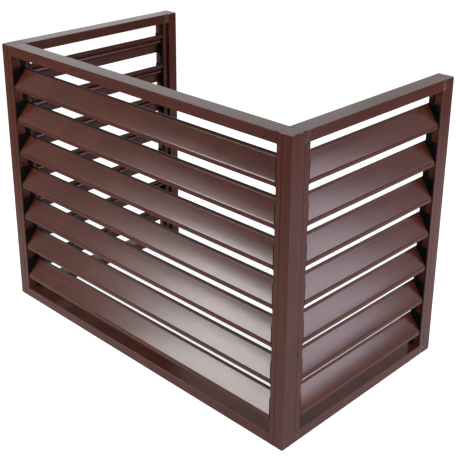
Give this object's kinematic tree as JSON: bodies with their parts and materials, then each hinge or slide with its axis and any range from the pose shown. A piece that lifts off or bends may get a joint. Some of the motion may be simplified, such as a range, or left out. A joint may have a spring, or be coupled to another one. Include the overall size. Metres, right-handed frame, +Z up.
{
  "type": "air conditioner screen",
  "caption": "Louvred three-sided screen that stands round an outdoor air conditioner unit: tube posts and rails, sloping blades in black holders, open back and top.",
  "frame": {"origin": "on the ground, at the centre of the plan's bounding box", "axes": "+X along the front panel from left to right, +Y from the front panel to the open back, +Z up"},
  "size_m": [0.95, 0.55, 0.7],
  "materials": {
    "powder_coated_aluminium": "satin reddish-brown powder coat on extruded aluminium",
    "powder_coated_caps": "moulded caps in the colour of the frame, satin",
    "powder_coated_blocks": "moulded corner blocks in the colour of the frame, satin",
    "black_plastic": "black moulded plastic, fine matt texture",
    "painted_screws": "countersunk screws with heads painted near the colour of the frame"
  },
  "bodies": {
    "root": {"frame_screws": "painted_screws", "front_blade_1": "powder_coated_aluminium", "front_blade_2": "powder_coated_aluminium", "front_blade_3": "powder_coated_aluminium", "front_blade_4": "powder_coated_aluminium", "front_blade_5": "powder_coated_aluminium", "front_blade_6": "powder_coated_aluminium", "front_blade_7": "powder_coated_aluminium", "front_bottom_rail": "powder_coated_aluminium", "front_left_blade_holder": "black_plastic", "front_left_bottom_cap": "powder_coated_caps", "front_left_post": "powder_coated_aluminium", "front_left_top_cap": "powder_coated_caps", "front_rail_plugs": "black_plastic", "front_right_blade_holder": "black_plastic", "front_right_bottom_cap": "powder_coated_caps", "front_right_post": "powder_coated_aluminium", "front_right_top_cap": "powder_coated_caps", "front_top_rail": "powder_coated_aluminium", "holder_screws": "painted_screws", "left_blade_1": "powder_coated_aluminium", "left_blade_2": "powder_coated_aluminium", "left_blade_3": "powder_coated_aluminium", "left_blade_4": "powder_coated_aluminium", "left_blade_5": "powder_coated_aluminium", "left_blade_6": "powder_coated_aluminium", "left_blade_7": "powder_coated_aluminium", "left_bottom_rail": "powder_coated_aluminium", "left_front_blade_holder": "black_plastic", "left_front_bottom_corner_block": "powder_coated_blocks", "left_front_stile": "powder_coated_aluminium", "left_front_top_corner_block": "powder_coated_blocks", "left_rear_blade_holder": "black_plastic", "left_rear_bottom_corner_block": "powder_coated_blocks", "left_rear_stile": "powder_coated_aluminium", "left_rear_top_corner_block": "powder_coated_blocks", "left_top_rail": "powder_coated_aluminium", "rear_left_bottom_cap": "powder_coated_caps", "rear_left_post": "powder_coated_aluminium", "rear_left_top_cap": "powder_coated_caps", "rear_right_bottom_cap": "powder_coated_caps", "rear_right_post": "powder_coated_aluminium", "rear_right_top_cap": "powder_coated_caps", "right_blade_1": "powder_coated_aluminium", "right_blade_2": "powder_coated_aluminium", "right_blade_3": "powder_coated_aluminium", "right_blade_4": "powder_coated_aluminium", "right_blade_5": "powder_coated_aluminium", "right_blade_6": "powder_coated_aluminium", "right_blade_7": "powder_coated_aluminium", "right_bottom_rail": "powder_coated_aluminium", "right_front_blade_holder": "black_plastic", "right_front_bottom_corner_block": "powder_coated_blocks", "right_front_stile": "powder_coated_aluminium", "right_front_top_corner_block": "powder_coated_blocks", "right_rear_blade_holder": "black_plastic", "right_rear_bottom_corner_block": "powder_coated_blocks", "right_rear_stile": "powder_coated_aluminium", "right_rear_top_corner_block": "powder_coated_blocks", "right_top_rail": "powder_coated_aluminium"}
  },
  "joints": []
}
